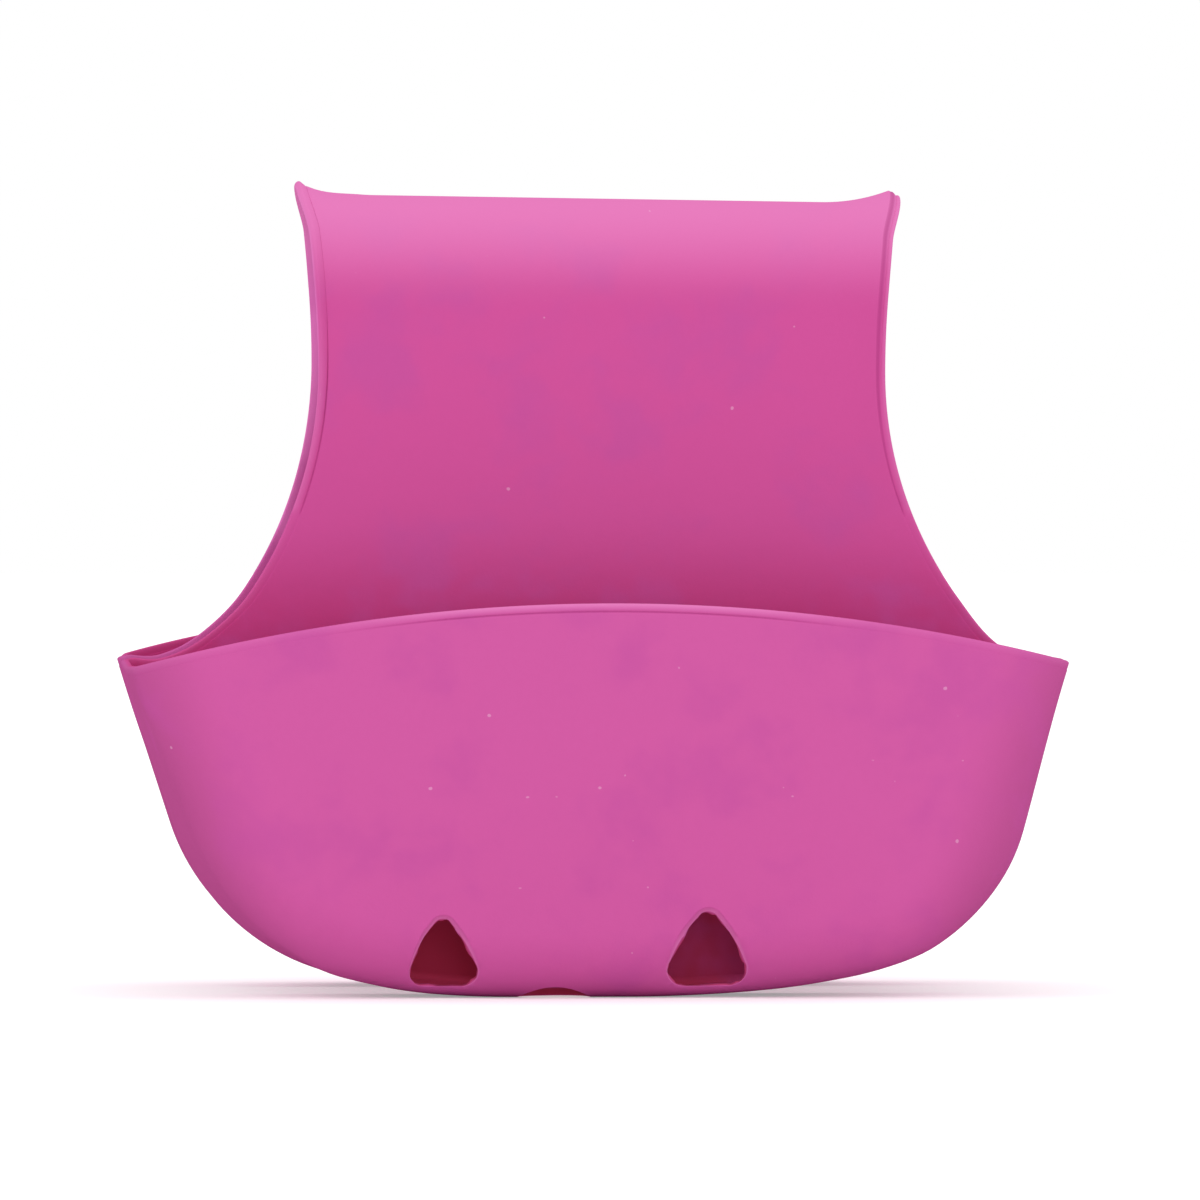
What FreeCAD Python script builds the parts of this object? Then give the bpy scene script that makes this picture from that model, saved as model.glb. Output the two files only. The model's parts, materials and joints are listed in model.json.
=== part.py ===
"""Saddle sink caddy: two soft pockets on a strap that folds over the wall between two sink bowls.

The whole caddy is one soft rubber moulding. It is split here where it bends: the strap over the crown is a
chain of strips, and the face of each pocket leans out from its floor and gussets when the mouth is opened.

Millimetres. X runs along the sink wall, the front pocket is on -Y, +Z is up.
The origin is under the middle of the caddy, on the surface that it stands on.
"""
import FreeCAD, Part
import math
import os

from FreeCAD import Vector

# Driving dimensions of the moulding
wall = 2.0                    # rubber thickness everywhere
saddle_gap = 38.0             # clear width between the two hanging panels
crown_top = 185.5             # height of the crown, in the middle of the strap

# Pocket, seen from the front
rim_half_width = 110.4        # at the corners of the mouth
rim_corner_height = 77.7
rim_arch = 15.5               # the rim of the pocket's face arches up this far above the corners
side_lean = 18.0              # degrees from upright
side_run = 96.4               # from the end of the flat floor out to the rim corner
sweep_radius = 224.0          # shallow arc from the floor
corner_radius = 51.0          # lower corners

# Pocket, seen from the side
rim_depth = 42.0              # outside, from the panel to the face
floor_depth = 34.0
side_taper = 2.5              # each side is this much narrower at the face than at the panel
front_edge_radius = 15.0      # rounds the face into the sides and the floor

# Strap, seen from the front
shoulder = 44.0               # each rim corner stands this far outside the waist of the strap
waist_rise = 67.8             # from the rim corners up to the waist
horn_radius = 265.0           # the strap widens again from the waist to the crown
flank_radius = 95.0           # concave edge below the waist
flank_turn = 33.0             # degrees that the edge turns before the tighter arc to the rim corner

# Curl of the strap's two edges, which rise where the strap is folded over the crown
curl_width = 13.3             # the curl starts this far inside the waist
curl_radius = 44.0
curl_fade = 52.5              # the curl dies out this far below the crown's axis

# Bead that stiffens every free edge
bead_width = 2.2
bead_rise = 0.4               # it stands this proud of both sides of the rubber

# Drains: two in the foot of each face and a round one in each floor
drain_reach = 16.5            # from the end of the flat floor out to the middle of a drain
drain_sill = 1.2              # from the floor inside up to the foot of the drain
drain_height = 17.0
drain_width = 18.0
drain_foot_radius = 4.0
drain_top_radius = 2.6
drain_lip = 1.3               # the drains widen by this towards the outside
floor_drain_radius = 8.5

# Mouth: the face leans out about a line above its drains
mouth_clearance = 3.8         # from the top of the drains up to that line
mouth_split_lean = 18.0       # degrees: the gussets narrow towards the line by this slope
gusset_run = 56.0             # from the end of the flat floor out to the foot of the gussets

# Folding of the strap
bends_per_side = 4
flex_gap = 0.3                # between pieces that move against each other

# Values that follow
inner_radius = saddle_gap / 2
outer_radius = inner_radius + wall
crown_axis = crown_top - outer_radius
bend_step = 90.0 / bends_per_side
rim_middle_height = rim_corner_height + rim_arch
face_lean = math.atan2(rim_depth - floor_depth, rim_middle_height)
floor_half_length = rim_half_width - side_run
waist_half_width = rim_half_width - shoulder
waist_height = rim_corner_height + waist_rise
curl_start = waist_half_width - curl_width
curl_end_height = crown_axis - curl_fade
drain_foot = wall + drain_sill
drain_spacing = 2 * (floor_half_length + drain_reach)
mouth_hinge_height = drain_foot + drain_height + mouth_clearance
gusset_start = floor_half_length + gusset_run
horn_flare = horn_radius - math.sqrt(horn_radius ** 2 - (crown_top - waist_height) ** 2)
curl_turn = math.degrees(math.asin((curl_width + horn_flare + 2 * wall) / curl_radius))
over = 20.0                   # how far cutting shapes reach past what they cut
head_height = rim_middle_height + over
tool_half_width = rim_half_width + over
tool_top = max(crown_top, waist_height) + over


def face_y(height, inset=0.0):
    """Y of the pocket's face at a height, or of a plane that lies inset within it."""
    return -outer_radius - floor_depth - height * math.tan(face_lean) + inset / math.cos(face_lean)


def polar(centre, radius, degrees):
    """Point on a circle in (x, z), with 0 degrees straight down and 90 degrees to the right."""
    turn = math.radians(degrees)
    return (centre[0] + radius * math.sin(turn), centre[1] - radius * math.cos(turn))


def arc(centre, radius, start, end):
    """Start, middle and end of an arc in (x, z)."""
    return [polar(centre, radius, a) for a in (start, (start + end) / 2, end)]


def mirrored(points):
    """The same segment on the other side of x = 0, run backwards."""
    return [(-x, z) for x, z in reversed(points)]


def edge(points, y):
    """A straight edge from two (x, z) points, or an arc from three."""
    spots = [Vector(x, y, z) for x, z in points]
    if len(spots) == 2:
        return Part.LineSegment(*spots).toShape()
    return Part.Arc(*spots).toShape()


def symmetric_wire(right_half, y):
    """A closed wire from segments that run up the right side, with their mirror images on the left."""
    foot = right_half[0][0]
    head = right_half[-1][-1]
    floor = [(-foot[0], foot[1]), foot]
    top = [head, (-head[0], head[1])]
    left_half = [mirrored(s) for s in reversed(right_half)]
    return Part.Wire([edge(s, y) for s in [floor, *right_half, top, *left_half]])


def basin_half(half_width, inset):
    """Right half of the pocket's outline up to its side: shallow arc, lower corner and side line.

    Every curve lies inset within the outer one. Returns the two arcs and a function that gives the
    side's half width at a height.
    """
    lean = math.radians(side_lean)
    span = sweep_radius - corner_radius
    over_floor = half_width - floor_half_length
    below_centre = sweep_radius - rim_corner_height
    reach = over_floor * math.cos(lean) + below_centre * math.sin(lean)
    sweep = 90.0 - side_lean - math.degrees(math.acos((reach - corner_radius) / span))
    sweep_centre = (floor_half_length, sweep_radius)
    corner_centre = polar(sweep_centre, span, sweep)
    arcs = [
        arc(sweep_centre, sweep_radius - inset, 0.0, sweep),
        arc(corner_centre, corner_radius - inset, sweep, 90.0 - side_lean),
    ]

    def side_at(height):
        return half_width - inset / math.cos(lean) + (height - rim_corner_height) * math.tan(lean)

    return arcs, side_at


def basin_wire(half_width, inset, y):
    """Closed outline of the pocket at one depth, open space above the rim included."""
    arcs, side_at = basin_half(half_width, inset)
    side = [arcs[-1][-1], (side_at(head_height), head_height)]
    return symmetric_wire([*arcs, side], y)


def flank_half(inset):
    """Right edge of panel and strap from the rim corner up past the crown, lying inset within the outer one."""
    rim_corner = (rim_half_width, rim_corner_height)
    flank_centre = (waist_half_width + flank_radius, waist_height)
    start = polar(flank_centre, flank_radius, -90.0 + flank_turn)
    # The lower arc starts where the flank ends, in line with it, and passes through the rim corner.
    turn = math.radians(flank_turn)
    along = (math.cos(turn), math.sin(turn))
    gap = (start[0] - rim_corner[0], start[1] - rim_corner[1])
    radius = -(gap[0] ** 2 + gap[1] ** 2) / (2 * (gap[0] * along[0] + gap[1] * along[1]))
    centre = (start[0] + radius * along[0], start[1] + radius * along[1])
    end_turn = math.degrees(math.atan2(rim_corner[0] - centre[0], centre[1] - rim_corner[1]))
    horn_turn = math.degrees(math.asin((tool_top - waist_height) / horn_radius))
    horn_centre = (waist_half_width + horn_radius, waist_height)
    return [
        arc(centre, radius + inset, end_turn, -90.0 + flank_turn),
        arc(flank_centre, flank_radius + inset, -90.0 + flank_turn, -90.0),
        arc(horn_centre, horn_radius + inset, -90.0, -90.0 - horn_turn),
    ]


def saddle_wire(y):
    """Outline of strap and panel seen from the front, from the floor up past the crown."""
    arcs, _ = basin_half(rim_half_width, 0.0)
    flank = flank_half(0.0)
    side = [arcs[-1][-1], flank[0][0]]
    return symmetric_wire([*arcs, side, *flank], y)


def inside_bead_wire(y):
    """Outline of the strap and panel within the bead, with everything below and beside it."""
    flank = flank_half(bead_width)
    foot = flank[0][0]
    beside = [(foot[0], 0.0), foot]
    return symmetric_wire([beside, *flank], y)


def prism(wire, direction):
    """A solid swept straight from a flat closed wire."""
    return Part.Face(wire).extrude(direction)


def bar(points_yz):
    """A solid of constant section along X, from its corners in (y, z)."""
    corners = [Vector(-tool_half_width, y, z) for y, z in points_yz]
    return prism(Part.makePolygon([*corners, corners[0]]), Vector(2 * tool_half_width, 0, 0))


def slab(half_width):
    """Everything within a half width of the middle."""
    size = Vector(2 * half_width, 2 * tool_half_width, tool_top + over)
    return Part.makeBox(*size, Vector(-half_width, -tool_half_width, -over))


def curl_section(place, rise, grow):
    """Closed section across the strap: a level middle and two curled edges, one wall thick.

    place turns (x, distance from the crown's axis) into a point. With no rise the section is straight and
    as wide as the rim. Both sides are grown by the same amount for the bead.
    """
    centre = outer_radius + curl_radius
    top = outer_radius + grow
    under = inner_radius - grow

    def curl(radius, level):
        if rise:
            return arc((curl_start, centre), radius, 0.0, curl_turn)
        return [(curl_start, level), (rim_half_width, level)]

    outer = curl(curl_radius - grow, top)
    inner = curl(curl_radius + wall + grow, under)
    segments = [
        [(-curl_start, top), (curl_start, top)],
        outer,
        [outer[-1], inner[-1]],
        inner[::-1],
        [(curl_start, under), (-curl_start, under)],
        mirrored(inner[::-1]),
        mirrored([outer[-1], inner[-1]]),
        mirrored(outer),
    ]
    edges = []
    for points in segments:
        spots = [place(x, r) for x, r in points]
        edges.append((Part.LineSegment if len(spots) == 2 else Part.Arc)(*spots).toShape())
    return Part.Wire(edges)


def around_crown(shape, degrees):
    """Turns a shape about the crown's axis, from the top towards the front."""
    turned = shape.copy()
    turned.rotate(Vector(0, 0, crown_axis), Vector(1, 0, 0), degrees)
    return turned


def crown_sector(start, end, grow):
    """Part of the crown between two angles, measured from the top towards the front."""
    section = Part.Face(curl_section(lambda x, r: Vector(x, 0, crown_axis + r), True, grow))
    return around_crown(section, start).revolve(Vector(0, 0, crown_axis), Vector(1, 0, 0), end - start)


def bend_cutter(angle):
    """Clears one bend of the strap: a thin slot, and a notch where the curled edges stand past its axis."""
    half = flex_gap / 2
    low = inner_radius - over / 4
    high = outer_radius + over
    notch = half + over * math.tan(math.radians(bend_step / 2))
    right = [(half, low), (half, outer_radius), (notch, high)]
    corners = right + mirrored(right)
    return around_crown(bar([(y, crown_axis + r) for y, r in corners]), angle)


def bend_angles():
    """Angles of the bends on the front side, from the ridge down to the panel."""
    return [bend_step * (i + 0.5) for i in range(bends_per_side)]


def across(wire):
    """A solid that runs through the whole caddy from front to rear."""
    return prism(wire, Vector(0, 2 * tool_half_width, 0))


def trimmed(sheet):
    """Trims a sheet to the strap's outline and adds the bead along its free edges."""
    outline = across(saddle_wire(-tool_half_width))
    bead_zone = outline.cut(across(inside_bead_wire(-tool_half_width)))
    bead_zone = bead_zone.common(slab(rim_half_width - 2 * (wall + bead_rise)))
    return sheet(0.0).common(outline).fuse(sheet(bead_rise).common(bead_zone)).removeSplitter()


def crown_strip(start, end):
    """Strip of the folded strap between two bends."""
    strip = trimmed(lambda grow: crown_sector(start, end, grow))
    return strip.cut(bend_cutter(start)).cut(bend_cutter(end))


def panel_sheet(grow):
    """Sheet of the panel: the end of the crown, a stretch where the curled edges die out, and a flat plate."""
    bend = crown_sector(bend_angles()[-1], 90.0, grow)
    curled = Part.makeLoft([
        curl_section(lambda x, r: Vector(x, -r, crown_axis), True, grow),
        curl_section(lambda x, r: Vector(x, -r, curl_end_height), False, grow),
    ], True, True)
    plate = Part.makeBox(
        2 * tool_half_width, wall + 2 * grow, curl_end_height,
        Vector(-tool_half_width, -outer_radius - grow, 0),
    )
    return bend.fuse([curled, plate])


def hanging_panel():
    """Panel that hangs from the strap and closes the back of the pocket."""
    return trimmed(panel_sheet).cut(bend_cutter(bend_angles()[-1]))


def pocket_block(inset):
    """Pocket as a solid block with rounded front edges, lying inset within the outer skin."""
    reach = rim_depth + over
    back = basin_wire(rim_half_width, inset, -outer_radius)
    front = basin_wire(rim_half_width - side_taper * reach / rim_depth, inset, -outer_radius - reach)
    block = Part.makeLoft([back, front], True, True)
    low = -over
    high = head_height + over
    behind_face = bar([(0, low), (face_y(low, inset), low), (face_y(high, inset), high), (0, high)])
    block = block.common(behind_face)

    def on_face(point):
        return abs(point.y - face_y(point.z, inset)) < 0.01

    rounded = [
        e for e in block.Edges
        if all(on_face(v.Point) for v in e.Vertexes)
        and on_face(e.valueAt((e.FirstParameter + e.LastParameter) / 2))
        and e.CenterOfMass.z < head_height - 1.0
    ]
    return block.makeFillet(front_edge_radius - inset, rounded)


def under_rim(lowered):
    """Everything below the arched rim, or below the same arch lowered by some millimetres."""
    side = tool_half_width
    low = -over
    rise = rim_middle_height - rim_corner_height
    radius = (rim_half_width ** 2 + rise ** 2) / (2 * rise)
    end = rim_middle_height - radius + math.sqrt(radius ** 2 - side ** 2)
    arch = [(side, end), (0.0, rim_middle_height), (-side, end)]
    segments = [[(side, low), arch[0]], arch, [arch[-1], (-side, low)], [(-side, low), (side, low)]]
    below = prism(Part.Wire([edge(s, 0.0) for s in segments]), Vector(0, -outer_radius - rim_depth - over, 0))
    below.translate(Vector(0, 0, -lowered))
    return below


def pocket_shell():
    """Walls and floor of the pocket, with the bead round its mouth."""
    skin = pocket_block(0.0).cut(pocket_block(wall)).common(under_rim(0.0))
    bead = pocket_block(-bead_rise).cut(pocket_block(wall + bead_rise))
    bead = bead.common(under_rim(0.0)).cut(under_rim(bead_width))
    return skin.fuse(bead)


def face_zone(grow):
    """Space of the pocket's face: above its hinge line, and in front of a plane that leans back."""
    lean = math.radians(mouth_split_lean)
    front = -outer_radius - rim_depth - over
    start = face_y(mouth_hinge_height, wall) + grow / math.cos(lean)

    def back(height):
        return start + (height - mouth_hinge_height) * math.tan(lean)

    low = mouth_hinge_height - grow
    return bar([(front, low), (back(low), low), (back(head_height), head_height), (front, head_height)])


def rounded_triangle(grow, y):
    """Outline of a drain: a triangle standing on its foot, with rounded corners, grown outwards."""
    rise = drain_height - drain_foot_radius - drain_top_radius
    run = drain_width / 2 - drain_foot_radius
    top_turn = math.atan2(run, rise) + math.asin((drain_foot_radius - drain_top_radius) / math.hypot(run, rise))
    side = 90.0 + math.degrees(top_turn)
    low_centre = (run, drain_foot + drain_foot_radius)
    top_centre = (0.0, drain_foot + drain_height - drain_top_radius)
    low = arc(low_centre, drain_foot_radius + grow, 0.0, side)
    top = arc(top_centre, drain_top_radius + grow, side, 360.0 - side)
    segments = [
        [(-low[0][0], low[0][1]), low[0]],
        low,
        [low[-1], top[0]],
        top,
        mirrored([low[-1], top[0]]),
        mirrored(low),
    ]
    return Part.Wire([edge(s, y) for s in segments])


def face_drain(x):
    """Cutter for a drain at the foot of the face, wider outside than inside."""
    outside = face_y(drain_foot + drain_height) - wall
    inside = face_y(0.0) + front_edge_radius
    cutter = Part.makeLoft([rounded_triangle(drain_lip, outside), rounded_triangle(0.0, inside)], True, True)
    cutter.translate(Vector(x, 0, 0))
    return cutter


def floor_drain():
    """Cutter for the round drain in the floor."""
    foot = Vector(0, -outer_radius - floor_depth / 2, -over)
    return Part.makeCylinder(floor_drain_radius, over + front_edge_radius, foot)


def pocket_pieces():
    """Face, floor and the two gussets of the front pocket."""
    shell = pocket_shell()
    face = shell.common(face_zone(0.0))
    rest = shell.cut(face_zone(flex_gap))
    middle = slab(gusset_start)
    floor = rest.common(middle)
    for cutter in [face_drain(-drain_spacing / 2), face_drain(drain_spacing / 2), floor_drain()]:
        floor = floor.cut(cutter)
    sides = sorted(rest.cut(middle).Solids, key=lambda s: s.CenterOfMass.x)
    return {"pocket_face": face, "pocket_floor": floor, "left_gusset": sides[0], "right_gusset": sides[-1]}


def leg_pieces():
    """Every piece on the front side of the ridge, by its name without the side."""
    bends = bend_angles()
    pieces = {f"saddle_strip_{n}": crown_strip(bends[n - 1], bends[n]) for n in range(1, bends_per_side)}
    pieces["hanging_panel"] = hanging_panel()
    pieces.update(pocket_pieces())
    return pieces


def main():
    pieces = {"saddle_ridge": crown_strip(-bend_step / 2, bend_step / 2)}
    for name, shape in leg_pieces().items():
        pieces["front_" + name] = shape
        pieces["rear_" + name] = shape.mirror(Vector(0, 0, 0), Vector(0, 1, 0))
    os.makedirs("parts", exist_ok=True)
    for name, shape in pieces.items():
        solids = shape.Solids
        if len(solids) != 1 or not solids[0].isValid():
            raise ValueError(f"{name} has {len(solids)} solids, valid: {[s.isValid() for s in solids]}")
        solids[0].exportStep(f"parts/{name}.step")
        print(f"{name}: {solids[0].Volume / 1000:.1f} cm3")


main()
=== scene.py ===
# %% [markdown]
# # A soft rubber saddle caddy
# The caddy is one soft moulding. A wide strap folds over the wall between two sink bowls, and each end of
# the strap is a pocket with drains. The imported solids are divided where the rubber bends, with hair-thin
# gaps between them. The real thing has no gap and no seam, so this lesson draws the whole moulding as one
# seamless middle surface, gives it a wall, and only then parts it where it has to bend.

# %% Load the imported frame
import json
import math

import bmesh
import bpy
import numpy as np
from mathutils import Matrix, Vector


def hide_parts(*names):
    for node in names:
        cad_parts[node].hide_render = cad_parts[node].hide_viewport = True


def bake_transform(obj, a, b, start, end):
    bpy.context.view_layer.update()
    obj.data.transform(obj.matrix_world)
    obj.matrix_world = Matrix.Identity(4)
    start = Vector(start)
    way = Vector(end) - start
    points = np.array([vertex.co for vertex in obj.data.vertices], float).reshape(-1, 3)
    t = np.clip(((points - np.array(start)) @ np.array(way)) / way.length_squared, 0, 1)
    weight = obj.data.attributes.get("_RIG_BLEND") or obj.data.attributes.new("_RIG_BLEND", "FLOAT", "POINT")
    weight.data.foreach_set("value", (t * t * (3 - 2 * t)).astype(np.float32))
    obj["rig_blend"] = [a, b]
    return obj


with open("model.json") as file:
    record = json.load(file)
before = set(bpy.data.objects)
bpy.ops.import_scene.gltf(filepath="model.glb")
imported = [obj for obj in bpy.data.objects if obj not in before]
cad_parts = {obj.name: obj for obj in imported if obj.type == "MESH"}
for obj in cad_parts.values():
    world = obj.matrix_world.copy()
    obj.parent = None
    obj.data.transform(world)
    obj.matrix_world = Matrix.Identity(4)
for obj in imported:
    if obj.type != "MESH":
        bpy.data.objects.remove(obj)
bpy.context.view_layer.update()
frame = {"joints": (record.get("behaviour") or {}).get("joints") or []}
joints = {j["name"]: j for j in frame["joints"]}

# %% [markdown]
# ## Where the strap folds
# The strap turns a half circle over the sink wall. The frame's hinges tell where: each side has four, spread
# evenly over a quarter turn on the outside of the rubber, so the first one gives the circle's radius and its
# axis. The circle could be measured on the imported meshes, but the hinges give it without rounding.
# Everything is in metres.

# %% Circle of the fold
MM = 0.001
WALL = 2.0 * MM
HALF_WALL = WALL / 2
BENDS = 4
BEND_STEP = math.radians(90 / BENDS)

first_bend = Vector(joints["front_bend_1"]["pos_m"])
OUTER_RADIUS = -first_bend.y / math.sin(BEND_STEP / 2)
MID_RADIUS = OUTER_RADIUS - HALF_WALL
CROWN_AXIS = first_bend.z - OUTER_RADIUS * math.cos(BEND_STEP / 2)
print(f"fold radius {OUTER_RADIUS / MM:.1f} mm about an axis {CROWN_AXIS / MM:.1f} mm up")

# %% [markdown]
# ## Rows along the free edge
# A thin strip, a little lower than the rubber beside it, runs along every free edge: over the strap's sides,
# along the flanks and round the mouth. For its round lip and the crisp step beside it the mesh needs close
# rows that run parallel to the edge. An evenly fine mesh would show them too, but with many times the faces.
# The first rows follow a quarter circle, so that the lip comes out round.

# %% Distances of those rows from the free edge
STRIP_WIDTH = 1.9 * MM
STRIP_STEP = 0.25 * MM
LIP_RADIUS = 0.5 * MM
LIP_ROWS = 5
STEP_ROWS = np.array([-2.5, -1.2, -0.2, 0.35, 0.7, 1.0, 1.5, 2.2])
LAST_GAP = 4.2 * MM

lip_gaps = LIP_RADIUS * (1 - np.cos(np.linspace(0, math.pi / 2, LIP_ROWS)))
EDGE_GAPS = np.concatenate([lip_gaps, STRIP_WIDTH + STRIP_STEP * STEP_ROWS, [LAST_GAP]])
EDGE_ROWS = len(EDGE_GAPS) - 1
ACROSS = np.linspace(-1, 1, 91)
print(EDGE_ROWS, "rows beside the edge,", len(ACROSS), "columns across")

# %% [markdown]
# ## The pocket's outline
# Seen from the front, a pocket is a shallow bowl: a flat floor, a wide sweep, a rounder corner, and a
# straight side that leans out up to the arched rim. A hand-drawn curve would do for one picture, but arcs
# that touch each other keep the moulding's radii. Each half is worked out from them, in the middle of the
# wall, together with the direction that points into the bowl.

# %% Circles and the rim's arch
RIM_HALF_WIDTH = 110.4 * MM
RIM_CORNER_HEIGHT = 77.7 * MM
RIM_MIDDLE_HEIGHT = 92.4 * MM


def polar(centre, radius, angle):
    """Points on a circle in (x, z): straight down at 0, towards +x as the angle grows."""
    angle = np.asarray(angle, float)
    return np.stack([centre[0] + radius * np.sin(angle), centre[1] - radius * np.cos(angle)], -1)


def rim_arch(x):
    """Height of the rim's round arch, through its two corners and its middle."""
    rise = RIM_MIDDLE_HEIGHT - RIM_CORNER_HEIGHT
    radius = (RIM_HALF_WIDTH ** 2 + rise ** 2) / (2 * rise)
    return RIM_MIDDLE_HEIGHT - radius + np.sqrt(radius ** 2 - np.square(x))


print(f"rim rises {(rim_arch(0) - rim_arch(RIM_HALF_WIDTH)) / MM:.1f} mm to its middle")

# %% Outline of the bowl
SIDE_LEAN = math.radians(18)
FLOOR_HALF_LENGTH = 14.0 * MM
SWEEP_RADIUS = 224.0 * MM
CORNER_RADIUS = 51.0 * MM
SIDE_STEPS, CORNER_STEPS, SWEEP_STEPS = 14, 24, 26
TOP_TRIES = 4


def bowl_outline(half_width):
    """Right half of the bowl from rim to floor: points and inward directions in (x, z)."""
    cos, sin = math.cos(SIDE_LEAN), math.sin(SIDE_LEAN)
    span = SWEEP_RADIUS - CORNER_RADIUS
    reach = (half_width - FLOOR_HALF_LENGTH) * cos + (SWEEP_RADIUS - RIM_CORNER_HEIGHT) * sin
    sweep = math.pi / 2 - SIDE_LEAN - math.acos((reach - CORNER_RADIUS) / span)
    sweep_centre = np.array([FLOOR_HALF_LENGTH, SWEEP_RADIUS])
    corner_centre = polar(sweep_centre, span, sweep)
    turns = np.linspace(math.pi / 2 - SIDE_LEAN, sweep, CORNER_STEPS + 1)
    corner = polar(corner_centre, CORNER_RADIUS - HALF_WALL, turns)
    floor = polar(sweep_centre, SWEEP_RADIUS - HALF_WALL, np.linspace(sweep, 0, SWEEP_STEPS + 1)[1:])

    # The side's top slides along its slant until it meets the arch.
    top = np.array([half_width - HALF_WALL / cos, RIM_CORNER_HEIGHT])
    for _ in range(TOP_TRIES):
        top = top + np.array([math.tan(SIDE_LEAN), 1.0]) * (rim_arch(top[0]) - top[1])
    length = np.linalg.norm(corner[0] - top)
    down = np.concatenate([EDGE_GAPS, np.linspace(EDGE_GAPS[-1], length, SIDE_STEPS + 1)[1:-1]])
    side = top + down[:, None] * (corner[0] - top) / length

    points = np.concatenate([side, corner, floor])
    inward = np.concatenate([
        np.tile([-cos, sin], (len(side), 1)),
        (corner_centre - corner) / (CORNER_RADIUS - HALF_WALL),
        (sweep_centre - floor) / (SWEEP_RADIUS - HALF_WALL),
    ])
    return points, inward


back_outline, inward = bowl_outline(RIM_HALF_WIDTH)
print(len(back_outline), "points from rim to floor")

# %% [markdown]
# ## Band and face of the pocket
# From the panel the wall runs forward as a straight band that narrows a little, so that the moulding comes
# off its core. The band is ruled between the outline at the panel and a narrower one further out, as a
# loft would be. In front it meets the plane of the face, which leans out towards the rim.

# %% Points on the band and on the face
RIM_DEPTH = 42.0 * MM
FLOOR_DEPTH = 34.0 * MM
FACE_SLOPE = (RIM_DEPTH - FLOOR_DEPTH) / RIM_MIDDLE_HEIGHT
SIDE_TAPER = 2.5 * MM
RULE_DEPTH = 62.0 * MM

front_outline, _ = bowl_outline(RIM_HALF_WIDTH - SIDE_TAPER * RULE_DEPTH / RIM_DEPTH)


def on_band(depth):
    """Points of the band at depths in front of the panel, one for each point of the outline."""
    share = np.asarray(depth)[..., None] / RULE_DEPTH
    flat = back_outline + (front_outline - back_outline) * share
    return np.stack([flat[:, 0], np.broadcast_to(-OUTER_RADIUS - depth, len(flat)), flat[:, 1]], -1)


def face_y(height, inset):
    """Y of the face's plane at a height, inset from its outer side."""
    return -OUTER_RADIUS - FLOOR_DEPTH - height * FACE_SLOPE + inset * math.hypot(1, FACE_SLOPE)


print(f"face leans out by {math.degrees(math.atan(FACE_SLOPE)):.1f} degrees")

# %% [markdown]
# ## The pocket's wall
# The wall starts at a small fold in the panel, follows the band, rounds over a large front edge and ends on
# the face. The mouth's corners are tighter than the rest of that edge, and the rim's arch runs on over them.
# A bevel can't change its radius along an edge in this way, so a cubic curve with the usual quarter-circle
# handles makes both rounds. The flat floor has the profile of the sweep's last point.

# %% Soft steps and rounds
ROUND_HANDLE = 0.5523


def smooth(value, low, high):
    """0 below low, 1 above high, and a soft step between them."""
    t = np.clip((value - low) / (high - low), 0, 1)
    return t * t * (3 - 2 * t)


def run_along(points):
    """Length along a line of points, counted from the first one."""
    return np.concatenate([[0], np.cumsum(np.linalg.norm(np.diff(points, axis=0), axis=1))])


def rounded(start, corner, end, steps):
    """Points along a round that leaves start and reaches end, both towards the corner."""
    t = np.linspace(0, 1, steps + 1)[None, :, None]
    start, corner, end = (p[:, None, :] for p in (start, corner, end))
    near = start + (corner - start) * ROUND_HANDLE
    far = end + (corner - end) * ROUND_HANDLE
    return (1 - t) ** 3 * start + 3 * (1 - t) ** 2 * t * near + 3 * (1 - t) * t ** 2 * far + t ** 3 * end


print(f"a quarter of the way, a soft step has risen to {smooth(0.25, 0, 1):.2f}")

# %% Wall of the bowl, from the panel to the face
FRONT_EDGE_RADIUS = 15.0 * MM
MOUTH_CORNER_RADIUS = 6.0 * MM
MOUTH_CORNER_FADE = 42.0 * MM
FOLD_RADIUS = 2.6 * MM
FOLD_STEPS, BAND_STEPS, ROUND_STEPS = 6, 9, 16


def bowl_wall():
    """Right half of the wall as a grid: along the outline, then from the panel to the face."""
    climb = (front_outline[:, 1] - back_outline[:, 1]) / RULE_DEPTH
    face_depth = -OUTER_RADIUS - face_y(back_outline[:, 1], HALF_WALL)
    face_depth = face_depth / (1 - climb * FACE_SLOPE)
    into = np.stack([inward[:, 0], np.zeros(len(inward)), inward[:, 1]], -1)
    along_face = np.stack([inward[:, 0], -inward[:, 1] * FACE_SLOPE, inward[:, 1]], -1)
    blunt = smooth(run_along(back_outline), 0, MOUTH_CORNER_FADE)
    round_depth = MOUTH_CORNER_RADIUS + (FRONT_EDGE_RADIUS - MOUTH_CORNER_RADIUS) * blunt - HALF_WALL
    round_reach = FRONT_EDGE_RADIUS - HALF_WALL

    back = on_band(np.full(len(inward), -HALF_WALL))
    fold_end = on_band(np.full(len(inward), -HALF_WALL + FOLD_RADIUS))
    fold = rounded(back + into * FOLD_RADIUS, back, fold_end, FOLD_STEPS)
    front = on_band(face_depth)
    round_start = on_band(face_depth - round_depth)
    front_round = rounded(round_start, front, front + along_face * round_reach, ROUND_STEPS)
    lift = (1 - blunt)[:, None] * (rim_arch(front_round[0, :, 0]) - front_round[0, :, 2])
    front_round = front_round + lift[..., None] * [0, -FACE_SLOPE, 1]
    t = np.linspace(0, 1, BAND_STEPS + 1)[1:-1][None, :, None]
    band = fold_end[:, None, :] * (1 - t) + round_start[:, None, :] * t
    return np.concatenate([fold, band, front_round], 1)


wall_half = bowl_wall()
floor_grid = np.stack([wall_half[-1] * [0, 1, 1] + [FLOOR_HALF_LENGTH * a, 0, 0] for a in ACROSS])
print("wall grid", wall_half.shape[:2], "floor grid", floor_grid.shape[:2])

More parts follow.
